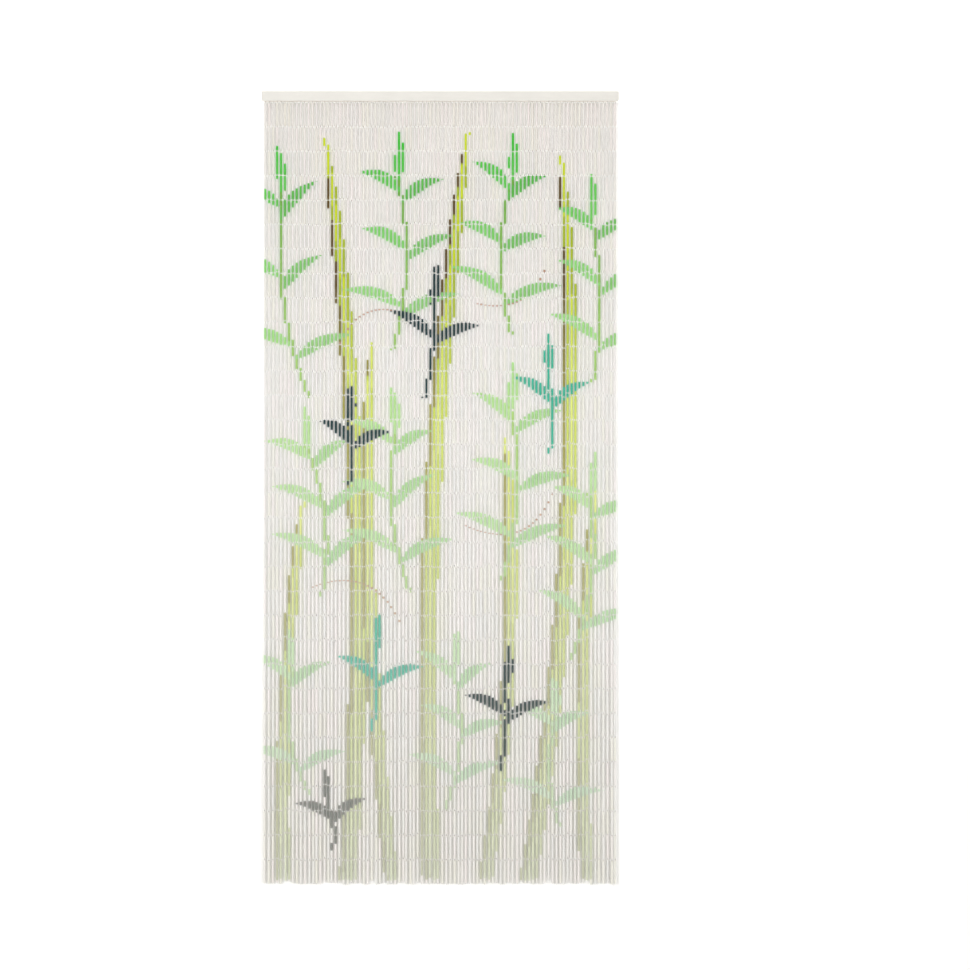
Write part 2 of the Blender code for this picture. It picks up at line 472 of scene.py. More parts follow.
class PrintGrid:
    """The ink on each string at each height, and how motifs are laid on it."""

    def __init__(self):
        self.across = (np.arange(STRING_COUNT) - (STRING_COUNT - 1) / 2) * STRING_PITCH
        self.heights = np.arange(0.0, HEM_Z - PRINT_STEP, -PRINT_STEP)
        self.x, self.z = np.meshgrid(self.across, self.heights, indexing="ij")
        self.ink = np.full(self.x.shape, NO_INK)
        rng = np.random.default_rng(PRINT_SEED)
        feet = PRINT_FOOT + np.abs(rng.normal(0.0, FOOT_SPREAD, STRING_COUNT))
        self.printed = (self.z < PRINT_TOP) & (self.z > feet[:, None])

    def lay(self, mask, name):
        """Lays one ink where the mask holds, over what is there."""
        self.ink[mask & self.printed] = 1 + INK_NAMES.index(name)

    def along(self, start, end, bend):
        """Each point's place along a bent line and its distance beside it.

        The line is the chord from start to end, bulged sideways by a parabola that reaches bend
        at the middle. The place is 0 at start and 1 at end.
        """
        dx, dz = end[0] - start[0], end[1] - start[1]
        length = math.hypot(dx, dz)
        place = ((self.x - start[0]) * dx + (self.z - start[1]) * dz) / length**2
        beside = ((self.x - start[0]) * dz - (self.z - start[1]) * dx) / length
        return place, beside - bend * 4 * place * (1 - place)

    def leaf(self, start, end, width, bend, name):
        """A lance leaf: its half width is a sine of the place, fullest before the middle."""
        place, beside = self.along(start, end, bend)
        inside = (place > 0) & (place < 1)
        fullness = np.sin(np.pi * place.clip(0, 1) ** LEAF_POWERS[0]) ** LEAF_POWERS[1]
        self.lay(inside & (np.abs(beside) < width / 2 * fullness), name)

    def blade(self, start, end, width, bend):
        """A grass blade: nearly even, closing to a point at its tip, with a dark edge and a vein."""
        place, beside = self.along(start, end, bend)
        inside = (place > 0) & (place < 1)
        on = place.clip(0, 1)
        half = width / 2 * (1 - on ** BLADE_POWERS[0]) ** BLADE_POWERS[1] * (1 - BLADE_TAPER * on)
        self.lay(inside & (np.abs(beside) < half), "blade")
        self.lay(inside & (beside < -EDGE_START * half) & (beside > -half), "edge")
        self.lay(inside & (np.abs(beside - VEIN_SHIFT * half) < VEIN_HALF_WIDTH), "vein")

    def line(self, start, end, bend, half_width, name):
        """A stem or a stalk of even width."""
        place, beside = self.along(start, end, bend)
        self.lay((place > 0) & (place < 1) & (np.abs(beside) < half_width), name)

    def sprig(self, start, end, bend, pairs, length, width, colour, rng):
        """A stem with pairs of leaves that shorten upwards, and a leaf at its tip."""
        stem, light, dark = GREEN_SPRIG if colour == "green" else (colour, colour, colour)
        self.line(start, end, bend, STEM_HALF_WIDTH, stem)
        heading = math.atan2(end[1] - start[1], end[0] - start[0])
        places = np.linspace(PAIRS_FROM, PAIRS_TO, pairs) if pairs > 1 else np.array([LONE_PAIR])
        for place in places:
            for side, name in ((-1, dark), (1, light)):
                root = point_on(start, end, bend, place + PAIR_STAGGER * side)
                opening = rng.uniform(*LEAF_ANGLES) + FOOT_ANGLE * (1 - place)
                size = length * (1 - LEAF_SHRINK * place) * rng.uniform(*LEAF_SIZES)
                tip = point_from(root, heading + side * math.radians(opening), size)
                self.leaf(root, tip, width, side * LEAF_BEND, name)
        root = point_on(start, end, bend, END_PLACE)
        tip = point_from(root, heading, END_LENGTH * length)
        self.leaf(root, tip, END_WIDTH * width, END_BEND, light)


def point_from(start, angle, length):
    """The point at an angle and a length from another."""
    return start[0] + length * math.cos(angle), start[1] + length * math.sin(angle)


def point_on(start, end, bend, place):
    """The point of a bent line at a place from 0 to 1."""
    dx, dz = end[0] - start[0], end[1] - start[1]
    length = math.hypot(dx, dz)
    bulge = bend * 4 * place * (1 - place)
    return start[0] + dx * place + dz / length * bulge, start[1] + dz * place - dx / length * bulge


def draw_print():
    """Lays blades, stalks and sprigs in that order and returns the grid."""
    grid = PrintGrid()
    rng = np.random.default_rng(PRINT_SEED)
    for base_x, base_z, tip_x, tip_z, width, bend in BLADES:
        grid.blade((base_x, base_z), (tip_x, tip_z), width, bend)
    for start_x, start_z, end_x, end_z, bend in STALKS:
        grid.line((start_x, start_z), (end_x, end_z), bend, STALK_HALF_WIDTH, "stalk")
    for base_x, base_z, tip_x, tip_z, bend, pairs, length, width, colour in SPRIGS:
        grid.sprig((base_x, base_z), (tip_x, tip_z), bend, pairs, length, width, colour, rng)
    return grid


def ink_colours(grid, settings):
    """Red, green, blue and cover of the ink on the grid.

    An ink keeps its top colour down to its own hold, and from there goes straight to its middle
    colour at MIDDLE_INK_DEPTH and straight on to its foot colour. Cover is 1 under ink and 0
    elsewhere.
    """
    depth = ((PRINT_TOP - grid.z) / (PRINT_TOP - PRINT_FOOT)).clip(0, 1)
    lower = ((depth - MIDDLE_INK_DEPTH) / (1 - MIDDLE_INK_DEPTH)).clip(0, 1)[..., None]
    colours = np.zeros(grid.ink.shape + (4,))
    for number, name in enumerate(INK_NAMES, start=1):
        top, middle, foot = (np.array(getattr(settings, f"{name}_{part}")) for part in INK_PARTS)
        here = grid.ink == number
        hold = INK_HOLDS.get(name, 0.0)
        upper = ((depth - hold) / (MIDDLE_INK_DEPTH - hold)).clip(0, 1)[..., None]
        faded = top + (middle - top) * upper + (foot - middle) * lower
        colours[here, :3] = faded[here]
        colours[here, 3] = 1.0
    return colours


def ink_cuts(grid, tubes, end_round):
    """For each tube, the places along it, from 0 to 1, where its ink changes.

    Changes nearer than LEAST_CUT to the last one kept or to an end are left out, and so are any
    past the first MOST_CUTS. A tube that keeps none gets a cut at its middle, for its bow.
    """
    changed = grid.ink[:, 1:] != grid.ink[:, :-1]
    tops, lengths = tubes["top"][:, :, 2], tubes["length"]
    cuts = [[[] for _ in range(TUBES_PER_STRING)] for _ in range(STRING_COUNT)]
    for string, sample in zip(*np.nonzero(changed)):
        height = grid.heights[sample] - PRINT_STEP / 2
        tube = int(np.searchsorted(-tops[string], -height)) - 1
        if tube < 0:
            continue
        down = tops[string, tube] - height
        held = cuts[string][tube]
        last = held[-1] if held else end_round
        furthest = lengths[string, tube] - end_round - LEAST_CUT
        if last + LEAST_CUT < down < furthest and len(held) < MOST_CUTS:
            held.append(down)
    for string in range(STRING_COUNT):
        for tube in range(TUBES_PER_STRING):
            held = cuts[string][tube]
            length = lengths[string, tube]
            if not held:
                held.append(length / 2)
            cuts[string][tube] = [down / length for down in held]
    return cuts


# Tubes


def tube_points(tubes, chosen, cuts, sizes):
    """Points of like tubes, each a closed grid of rings by sides, and the rings' places and radii.

    A ring's centre goes straight from the tube's top to its bottom, moved by a half wave of bow.
    The rings run down the outer wall, across the lower end, up the bore and across the upper end.
    The outer radius tapers along the tube and swells by a slow wave.
    """
    top, bottom = tubes["top"][chosen], tubes["bottom"][chosen]
    length, radius = tubes["length"][chosen][:, None], tubes["radius"][chosen][:, None]
    taper, turn = tubes["taper"][chosen][:, None], tubes["turn"][chosen][:, None]
    count = len(top)
    rub = sizes.end_round / length
    zero, one = np.zeros((count, 1)), np.ones((count, 1))
    outer = np.concatenate([zero, rub, cuts, 1 - rub, one], axis=1)
    places = np.concatenate([outer, one, zero], axis=1)
    swell = 1 + SWELL * np.sin(SWELL_RADIANS * outer + turn)
    swollen = radius * (1 + taper * (0.5 - outer) * 2) * swell
    swollen[:, [0, -1]] -= sizes.end_round
    bore = np.repeat(radius * sizes.bore, 2, axis=1)
    radii = np.concatenate([swollen, bore], axis=1)

    centres = top[:, None] + (bottom - top)[:, None] * places[..., None]
    centres[:, :, :2] += tubes["bow"][chosen][:, None] * np.sin(np.pi * places)[..., None]
    angles = turn + 2 * np.pi * np.arange(TUBE_SIDES) / TUBE_SIDES
    around = np.stack([np.cos(angles), np.sin(angles), np.zeros_like(angles)], axis=-1)
    points = centres[:, :, None] + radii[:, :, None, None] * around[:, None]
    return points, places, radii


def tube_map(chosen_cells, columns, rows, places, radii, length):
    """Map places of the corners of like tubes, one cell of the map a tube.

    U runs round the tube. V runs along the rings by the length of each step, with the bore counted
    as if it were BORE_ON_MAP long. A small margin is left round each cell.
    """
    count, rings = places.shape
    steps_z = np.abs(np.diff(places, axis=1)) * length
    steps_z[:, -1] = BORE_ON_MAP
    steps = np.hypot(steps_z, np.diff(radii, axis=1))
    closing = np.abs(radii[:, :1] - radii[:, -1:])
    reach = np.cumsum(np.concatenate([np.zeros((count, 1)), steps, closing], axis=1), axis=1)
    v = reach / reach[:, -1:]
    u = np.arange(TUBE_SIDES + 1) / TUBE_SIDES
    margin = MAP_MARGIN
    column = (chosen_cells % columns)[:, None]
    row = (chosen_cells // columns)[:, None]
    u_map = (column + margin + (1 - 2 * margin) * u[None]) / columns
    v_map = 1 - (row + margin / 3 + (1 - 2 * margin / 3) * v) / rows
    corners = np.empty((count, rings, TUBE_SIDES, 4, 2))
    u_left, u_right = u_map[:, None, :-1], u_map[:, None, 1:]
    v_up, v_down = v_map[:, :-1, None], v_map[:, 1:, None]
    turns = ((u_left, v_up), (u_left, v_down), (u_right, v_down), (u_right, v_up))
    for corner, (u_part, v_part) in enumerate(turns):
        corners[:, :, :, corner, 0] = u_part
        corners[:, :, :, corner, 1] = v_part
    return corners


def tube_piece(name, first, last, tubes, cuts, colours, sizes):
    """One mesh of the tubes on the strings from first to the one before last.

    Tubes with the same number of cuts are worked out together as arrays.
    """
    groups = {}
    for string in range(first, last):
        for tube in range(TUBES_PER_STRING):
            groups.setdefault(len(cuts[string][tube]), []).append((string, tube))
    parts, maps, inks, tones, ends = [], [], [], [], []
    for _, members in sorted(groups.items()):
        strings, numbers = (np.array(part) for part in zip(*members))
        chosen = (strings, numbers)
        own_cuts = np.array([cuts[string][tube] for string, tube in members])
        points, places, radii = tube_points(tubes, chosen, own_cuts, sizes)
        count, rings = places.shape
        quads = grid_quads(rings, TUBE_SIDES, True, True)
        parts.append((points.reshape(-1, 3), repeat_quads(quads, rings * TUBE_SIDES, count)))

        length = tubes["length"][chosen][:, None]
        cells = (strings - first) * TUBES_PER_STRING + numbers
        maps.append(tube_map(cells, MAP_COLUMNS, MAP_ROWS, places, radii, length).reshape(-1, 2))

        after = np.roll(places, -1, axis=1)
        heights = tubes["top"][chosen][:, 2][:, None] - (places + after) / 2 * length
        samples = (-heights / PRINT_STEP).round().astype(int).clip(0, colours.shape[1] - 1)
        ink = colours[strings[:, None], samples]
        is_end = np.zeros((count, rings))
        is_end[:, -3:] = 1.0
        ink[is_end == 1.0] = 0.0
        inks.append(np.repeat(ink[:, :, None], TUBE_SIDES, axis=2).reshape(-1, 4))
        ends.append(np.repeat(is_end[:, :, None], TUBE_SIDES, axis=2).ravel())
        tones.append(np.repeat(tubes["tone"][chosen], rings * TUBE_SIDES))
    piece = write_mesh(name, *join_parts(parts))
    layer = piece.data.uv_layers.new(name="OFBake")
    layer.uv.foreach_set("vector", np.concatenate(maps).astype(np.float32).ravel())
    add_face_values(piece, "ink", "FLOAT_COLOR", np.concatenate(inks))
    add_face_values(piece, "tone", "FLOAT", np.concatenate(tones))
    add_face_values(piece, "sawn", "FLOAT", np.concatenate(ends))
    return piece


# Wire links


def eye_lift(gap, links):
    """Height of an eye's middle beyond its tube's end, so that two eyes in a gap pull taut."""
    return (gap - (links.eye - links.wire)) / 2


def ring_points(centres, turns, eye, wire):
    """Points of upright wire rings: a circle in the plane of up and a turned level direction.

    A point is the centre, plus the eye's radius along the circle's own radius, plus the wire's
    radius round the wire.
    """
    angle = 2 * np.pi * (np.arange(EYE_STEPS) + 0.5) / EYE_STEPS
    round_wire = 2 * np.pi * np.arange(WIRE_SIDES) / WIRE_SIDES
    level = np.stack([np.cos(turns), np.sin(turns), np.zeros_like(turns)], axis=-1)[:, None]
    across = np.stack([-np.sin(turns), np.cos(turns), np.zeros_like(turns)], axis=-1)[:, None, None]
    up = np.array([0.0, 0.0, 1.0])
    radial = (level * np.cos(angle)[:, None] + up * np.sin(angle)[:, None])[:, :, None]
    wire_round = radial * np.cos(round_wire)[:, None] + across * np.sin(round_wire)[:, None]
    return centres[:, None, None] + radial * eye / 2 + wire_round * wire / 2


def rod_points(starts, ends, wire):
    """Points of straight wires from start down to end: one ring of corners at either end."""
    angle = 2 * np.pi * (np.arange(WIRE_SIDES) + 0.5) / WIRE_SIDES
    around = np.stack([np.cos(angle), np.sin(angle), np.zeros_like(angle)], axis=-1) * wire / 2
    return np.stack([starts, ends], axis=1)[:, :, None] + around


def moved(points, rise):
    """The same points moved up."""
    return points + np.array([0.0, 0.0, 1.0]) * np.broadcast_to(rise, points.shape[:-1])[..., None]


def link_piece(name, first, last, tubes, links):
    """One mesh of the wires on the strings from first to the one before last.

    Each tube has a wire through its bore with an eye at both ends. A string's upper eye hangs in a
    root eye on a stem that goes up into the strip. Neighbouring eyes are turned a quarter turn.
    """
    chosen = slice(first, last)
    upper = moved(tubes["top"][chosen], eye_lift(tubes["gap_above"][chosen], links)).reshape(-1, 3)
    lower = moved(tubes["bottom"][chosen], -eye_lift(tubes["gap_below"][chosen], links)).reshape(-1, 3)
    root = moved(upper[::TUBES_PER_STRING], links.eye - links.wire)
    seat = root.copy()
    seat[:, 2] = BAR_UNDERSIDE + ROOT_STEM_DEPTH

    rng = np.random.default_rng(LINK_SEED + first)
    upper_turn = rng.uniform(-EYE_TURN_SPREAD, EYE_TURN_SPREAD, len(upper))
    lower_turn = np.pi / 2 + rng.uniform(-EYE_TURN_SPREAD, EYE_TURN_SPREAD, len(lower))
    root_turn = np.full(len(root), np.pi / 2)
    reach = links.eye / 2
    ring = grid_quads(EYE_STEPS, WIRE_SIDES, True, True)[:, ::-1]
    rod = closed_prism_quads(2, WIRE_SIDES)
    parts = []
    for centres, turns in ((upper, upper_turn), (lower, lower_turn), (root, root_turn)):
        points = ring_points(centres, turns, links.eye, links.wire)
        parts.append((points.reshape(-1, 3), repeat_quads(ring, EYE_STEPS * WIRE_SIDES, len(centres))))
    through_bore = (moved(upper, -reach), moved(lower, reach), links.wire)
    root_stem = (seat, moved(root, reach), links.screw_wire)
    for starts, ends, wire in (through_bore, root_stem):
        points = rod_points(starts, ends, wire)
        parts.append((points.reshape(-1, 3), repeat_quads(rod, 2 * WIRE_SIDES, len(starts))))
    return write_mesh(name, *join_parts(parts))


# Strip


def strip_mesh():
    """The hanging strip: a square outline with small round corners, carried along X, ends closed.

    The outline is a square's corner points moved in by the corner radius, plus that radius at an
    angle that turns a quarter for each corner.
    """
    half_y = STRING_SIDE / 2
    half_z = (STRINGS_HIGH.z - BAR_UNDERSIDE) / 2
    middle_z = (STRINGS_HIGH.z + BAR_UNDERSIDE) / 2
    steps = STRIP_CORNER_STEPS
    corner = np.repeat(np.arange(4), steps)
    angle = (corner + np.tile(np.linspace(0, 1, steps), 4)) * np.pi / 2
    side_y = np.array([1, -1, -1, 1])[corner] * (half_y - STRIP_CORNER_RADIUS)
    side_z = np.array([1, 1, -1, -1])[corner] * (half_z - STRIP_CORNER_RADIUS)
    outline_y = STRING_Y + side_y + STRIP_CORNER_RADIUS * np.cos(angle)
    outline_z = middle_z + side_z + STRIP_CORNER_RADIUS * np.sin(angle)
    stations = np.linspace(STRIP_LENGTH / 2, -STRIP_LENGTH / 2, STRIP_STATIONS)
    rings = np.empty((STRIP_STATIONS, len(angle), 3))
    rings[:, :, 0] = stations[:, None]
    rings[:, :, 1] = outline_y
    rings[:, :, 2] = outline_z
    return rings.reshape(-1, 3), closed_prism_quads(STRIP_STATIONS, len(angle))


# Node groups and materials

# What a place is multiplied by along X, Y and Z, where a small number draws the pattern out, and
# how far a piece's own number shifts it
STREAK_SQUEEZE = (1.0, 1.0, 0.02)
FLECK_SQUEEZE = (1.0, 1.0, 0.18)
COAT_SQUEEZE = (1.0, 1.0, 0.25)
FIBRE_SHIFT = (1.3, 2.9, 7.1)
COAT_SHIFT = (5.7, 3.3, 1.9)

# How fine the patterns are
TUBE_FIBRES, TUBE_COAT = 1500.0, 220.0
BAR_FIBRES, BAR_COAT, BAR_TONING = 900.0, 160.0, 9.0
STRIP_FIBRES = 700.0
WIRE_CRYSTALS = 2600.0
WALL_GRAIN, FLOOR_GRAIN = 380.0, 90.0

# Tubes: how far the coat turns to straw where it is thin, the ink's cover there, and how strong
# the flecks are
THIN_STRAW = 0.3
THIN_INK = 0.93
FLECK_STRENGTH = 0.22

# From where to where an edge of the bar wears, as a distance from its faces
WEAR_FROM, WEAR_TO = -0.0016, -0.0003
WOOD_FLECK = (0.35, 0.22, 0.11, 1.0)
PLAIN_WHITE = (1.0, 1.0, 1.0, 1.0)


def add_node(tree, kind, inputs=None, **settings):
    """Adds a node, sets its settings, and sets or links each input that is named."""
    node = tree.nodes.new(kind)
    for name, value in settings.items():
        setattr(node, name, value)
    for name, value in (inputs or {}).items():
        if isinstance(value, bpy.types.NodeSocket):
            tree.links.new(value, node.inputs[name])
        else:
            node.inputs[name].default_value = value
    return node


def math_of(tree, operation, first, second=0.0, clamp=False):
    """Output of a Math node."""
    node = add_node(tree, "ShaderNodeMath", {0: first, 1: second}, operation=operation, use_clamp=clamp)
    return node.outputs[0]


def vector_of(tree, operation, first, second=(0.0, 0.0, 0.0)):
    """Output of a Vector Math node."""
    return add_node(tree, "ShaderNodeVectorMath", {0: first, 1: second}, operation=operation).outputs[0]


def noise_of(tree, vector, scale, detail=2.0, roughness=0.5):
    """Value of a noise, about 0.5 on average."""
    values = {"Vector": vector, "Scale": scale, "Detail": detail, "Roughness": roughness}
    return add_node(tree, "ShaderNodeTexNoise", values).outputs[0]


def spread_of(tree, value, low, high, to_low=0.0, to_high=1.0):
    """Carries a value from one range to another, and stops at its ends."""
    values = {"Value": value, "From Min": low, "From Max": high, "To Min": to_low, "To Max": to_high}
    return add_node(tree, "ShaderNodeMapRange", values).outputs[0]


def mix_of(tree, factor, first, second, blend="MIX"):
    """Colour output of a Mix node, whose sockets 0, 6 and 7 are the factor and the colours."""
    values = {0: factor, 6: first, 7: second}
    return add_node(tree, "ShaderNodeMix", values, data_type="RGBA", blend_type=blend).outputs[2]


def shaded(tree, colour, value, low, high, dark, light):
    """A colour times a grey, which goes from dark to light as the value goes from low to high."""
    grey = spread_of(tree, value, low, high, dark, light)
    shade = add_node(tree, "ShaderNodeCombineColor", {0: grey, 1: grey, 2: grey}).outputs[0]
    return mix_of(tree, 1.0, colour, shade, "MULTIPLY")


def ramp_of(tree, value, colours):
    """Colour output of a ramp whose colours stand at even places."""
    node = add_node(tree, "ShaderNodeValToRGB", {"Fac": value})
    stops = node.color_ramp.elements
    while len(stops) < len(colours):
        stops.new(1.0)
    for number, colour in enumerate(colours):
        stops[number].position = number / (len(colours) - 1)
        stops[number].color = with_alpha(colour)
    return node.outputs[0]


def with_alpha(colour):
    """A colour property as the four numbers that a socket takes."""
    return (colour[0], colour[1], colour[2], 1.0)


def bump_of(tree, height, strength, distance):
    """Normal output of a Bump node."""
    values = {"Height": height, "Strength": strength, "Distance": distance}
    return add_node(tree, "ShaderNodeBump", values).outputs[0]


def own_place(tree):
    """Where a point lies on its own piece."""
    return tree.nodes.new("ShaderNodeTexCoord").outputs["Object"]


def height_at(tree, place):
    """The Z of a place."""
    return add_node(tree, "ShaderNodeSeparateXYZ", {0: place}).outputs["Z"]


def grain_along_x(tree, place):
    """The place turned so that fibres run along X in place of Z."""
    turn = (0.0, math.pi / 2, 0.0)
    return add_node(tree, "ShaderNodeMapping", {"Vector": place, "Rotation": turn}).outputs[0]


def face_value(tree, name):
    """Outputs of the node that reads what add_face_values stored."""
    return add_node(tree, "ShaderNodeAttribute", attribute_name=name).outputs


def new_group(name, inputs, outputs):
    """A node group that takes a Vector and numbers and gives out numbers.

    Returns the group, the sockets that carry what it is given and those that take what it made.
    """
    group = bpy.data.node_groups.new(name, "ShaderNodeTree")
    group.interface.new_socket(name="Vector", in_out="INPUT", socket_type="NodeSocketVector")
    for way, labels in (("INPUT", inputs), ("OUTPUT", outputs)):
        for label in labels:
            group.interface.new_socket(name=label, in_out=way, socket_type="NodeSocketFloat")
    given = group.nodes.new("NodeGroupInput").outputs
    made = group.nodes.new("NodeGroupOutput").inputs
    return group, given, made


def squeezed_place(group, given, squeeze, shift):
    """The given place squeezed along each axis, plus a shift that differs from piece to piece."""
    own_shift = vector_of(group, "MULTIPLY", given["Piece"], shift)
    return vector_of(group, "ADD", vector_of(group, "MULTIPLY", given["Vector"], squeeze), own_shift)


def fibre_group():
    """Bamboo or wood fibres that run along Z: fine streaks, dark flecks and a height."""
    group, given, made = new_group("Fibre grain", ("Piece", "Scale"), ("Streaks", "Flecks", "Height"))
    long_place = squeezed_place(group, given, STREAK_SQUEEZE, FIBRE_SHIFT)
    short_place = squeezed_place(group, given, FLECK_SQUEEZE, FIBRE_SHIFT)
    streaks = noise_of(group, long_place, given["Scale"], 3.0, 0.6)
    fleck_noise = noise_of(group, short_place, math_of(group, "MULTIPLY", given["Scale"], 0.9), 1.0)
    flecks = spread_of(group, fleck_noise, 0.66, 0.74)
    height = math_of(group, "SUBTRACT", streaks, math_of(group, "MULTIPLY", flecks, 0.4))
    group.links.new(streaks, made["Streaks"])
    group.links.new(flecks, made["Flecks"])
    group.links.new(height, made["Height"])
    return group


def coat_group():
    """A brushed or dipped coat: where it is thin, and the low waves that it dried in."""
    group, given, made = new_group("Coat film", ("Piece", "Scale"), ("Thin", "Waves"))
    place = squeezed_place(group, given, COAT_SQUEEZE, COAT_SHIFT)
    waves = noise_of(group, place, given["Scale"], 2.0)
    patches = noise_of(group, place, math_of(group, "MULTIPLY", given["Scale"], 3.1), 3.0, 0.65)
    group.links.new(spread_of(group, patches, 0.56, 0.72), made["Thin"])
    group.links.new(waves, made["Waves"])
    return group


def toning_group():
    """Soft uneven toning, about 1 where clean and less where handling or dust has dulled it."""
    group, given, made = new_group("Toning", ("Scale", "Depth"), ("Tone",))
    broad = noise_of(group, given["Vector"], given["Scale"], 3.0)
    loss = math_of(group, "MULTIPLY", spread_of(group, broad, 0.3, 0.7), given["Depth"])
    group.links.new(math_of(group, "SUBTRACT", 1.0, loss), made["Tone"])
    return group


GROUPS = {"Fibre grain": fibre_group, "Coat film": coat_group, "Toning": toning_group}


def use_group(tree, name, place, **values):
    """Outputs of a shared group placed in a material; the group is built the first time."""
    group = bpy.data.node_groups.get(name) or GROUPS[name]()
    values["Vector"] = place
    return add_node(tree, "ShaderNodeGroup", values, node_tree=group).outputs


def new_material(name):
    """A node material with an empty tree; returns it and its tree."""
    material = bpy.data.materials.new(name)
    material.use_nodes = True
    tree = material.node_tree
    tree.nodes.clear()
    return material, tree


def finish_material(tree, values):
    """Adds the shader and the output, with plain numbers on the shader's own sockets."""
    shader = add_node(tree, "ShaderNodeBsdfPrincipled", values)
    add_node(tree, "ShaderNodeOutputMaterial", {"Surface": shader.outputs[0]})


def tube_material(finish):
    """Bamboo under a cream coat with painted shade towards the top and the hem, printed with ink, raw at
    its sawn ends and in its bore.
    """
    material, tree = new_material("Coated bamboo")
    place = own_place(tree)
    tone = face_value(tree, "tone")["Fac"]
    ink = face_value(tree, "ink")
    sawn = face_value(tree, "sawn")["Fac"]
    fibre = use_group(tree, "Fibre grain", place, Piece=tone, Scale=TUBE_FIBRES)
    coat = use_group(tree, "Coat film", place, Piece=tone, Scale=TUBE_COAT)
    streaks, thin = fibre["Streaks"], coat["Thin"]

    coats = (finish.cream, finish.blush, finish.cream, finish.straw, finish.ash, finish.cream)
    straw_share = math_of(tree, "MULTIPLY", thin, THIN_STRAW)
    bare = mix_of(tree, straw_share, ramp_of(tree, tone, coats), with_alpha(finish.straw))
    # Painted shade: the coat is multiplied by a grey over height, darkest at the top and a little darker
    # at the hem
    depth = spread_of(tree, height_at(tree, place), BAR_UNDERSIDE, HEM_Z)
    painted_height_shade = ramp_of(tree, depth, (finish.high, finish.upper, finish.lower, finish.low))
    bare = mix_of(tree, 1.0, bare, painted_height_shade, "MULTIPLY")
    thin_cover = spread_of(tree, thin, 0.0, 1.0, 1.0, THIN_INK)
    cover = math_of(tree, "MULTIPLY", ink["Alpha"], thin_cover)
    printed = mix_of(tree, cover, bare, ink["Color"])
    streaked = shaded(tree, printed, streaks, 0.25, 0.75, 0.968, 1.018)
    fleck_share = math_of(tree, "MULTIPLY", fibre["Flecks"], FLECK_STRENGTH)
    flecked = mix_of(tree, fleck_share, streaked, with_alpha(finish.cut))
    end = shaded(tree, with_alpha(finish.cut), streaks, 0.3, 0.7, 0.75, 1.05)

    smoothest, roughest = finish.coat_roughness - 0.07, finish.coat_roughness + 0.09
    smooth = spread_of(tree, streaks, 0.2, 0.8, smoothest, roughest)
    height = math_of(tree, "ADD", fibre["Height"], math_of(tree, "MULTIPLY", coat["Waves"], 0.8))
    values = {
        "Base Color": mix_of(tree, sawn, flecked, end),
        "Roughness": math_of(tree, "ADD", smooth, math_of(tree, "MULTIPLY", sawn, 0.3), True),
        "Normal": bump_of(tree, height, 0.25, 0.00012),
        "Specular IOR Level": finish.tube_gloss,
    }
    finish_material(tree, values)
    return material


def wire_material(finish):
    """Drawn wire with a thin zinc coat: dull grey with small brighter crystals."""
    material, tree = new_material("Link wire")
    crystals = noise_of(tree, own_place(tree), WIRE_CRYSTALS)
    values = {
        "Base Color": shaded(tree, with_alpha(finish.wire), crystals, 0.3, 0.7, 0.82, 1.1),
        "Roughness": spread_of(tree, crystals, 0.3, 0.7, 0.4, 0.55),
        "Metallic": 1.0,
        "Normal": bump_of(tree, crystals, 0.2, 0.00005),
    }
    finish_material(tree, values)
    return material


def bar_material(finish):
    """Cream paint on wood: brush marks and faint grain along X, thinner at the worn edges."""
    material, tree = new_material("Cream paint")
    place = own_place(tree)
    along = grain_along_x(tree, place)
    fibre = use_group(tree, "Fibre grain", along, Piece=0.37, Scale=BAR_FIBRES)
    coat = use_group(tree, "Coat film", along, Piece=0.11, Scale=BAR_COAT)
    toning = use_group(tree, "Toning", place, Scale=BAR_TONING, Depth=0.03)
    painted = shaded(tree, with_alpha(finish.bar), coat["Waves"], 0.3, 0.7, 0.97, 1.01)
    toned = shaded(tree, painted, toning["Tone"], 0.9, 1.0, 0.9, 1.0)
    worn = math_of(tree, "MULTIPLY", edge_mask(tree, place), coat["Thin"])
    worn_share = math_of(tree, "MULTIPLY", worn, 0.5)
    height = math_of(tree, "ADD", coat["Waves"], math_of(tree, "MULTIPLY", fibre["Height"], 0.35))
    values = {
        "Base Color": mix_of(tree, worn_share, toned, with_alpha(finish.strip)),
        "Roughness": spread_of(tree, coat["Waves"], 0.2, 0.8, 0.38, 0.52),
        "Normal": bump_of(tree, height, 0.35, 0.0002),
    }
    finish_material(tree, values)
    return material


def edge_mask(tree, place):
    """How near a place is to an edge of the bar: 1 at the edge, 0 from WEAR_FROM inwards.

    It is the second largest of how near the place is to the three pairs of faces.
    """
    middle = (BAR_LOW + BAR_HIGH) / 2
    half = (BAR_HIGH - BAR_LOW) / 2
    centred = vector_of(tree, "ABSOLUTE", vector_of(tree, "SUBTRACT", place, middle))
    inset = vector_of(tree, "SUBTRACT", centred, half)
    parts = add_node(tree, "ShaderNodeSeparateXYZ", {0: inset}).outputs
    near = [spread_of(tree, part, WEAR_FROM, WEAR_TO) for part in parts]
    pairs = [math_of(tree, "MINIMUM", near[i], near[(i + 1) % 3]) for i in range(3)]
    return math_of(tree, "MAXIMUM", math_of(tree, "MAXIMUM", pairs[0], pairs[1]), pairs[2])


def strip_material(finish):
    """Planed softwood with its grain along X."""
    material, tree = new_material("Raw wood")
    along = grain_along_x(tree, own_place(tree))
    fibre = use_group(tree, "Fibre grain", along, Piece=0.71, Scale=STRIP_FIBRES)
    streaked = shaded(tree, with_alpha(finish.strip), fibre["Streaks"], 0.25, 0.75, 0.8, 1.06)
    fleck_share = math_of(tree, "MULTIPLY", fibre["Flecks"], 0.4)
    values = {
        "Base Color": mix_of(tree, fleck_share, streaked, WOOD_FLECK),
        "Roughness": 0.68,
        "Normal": bump_of(tree, fibre["Height"], 0.5, 0.00025),
    }
    finish_material(tree, values)
    return material


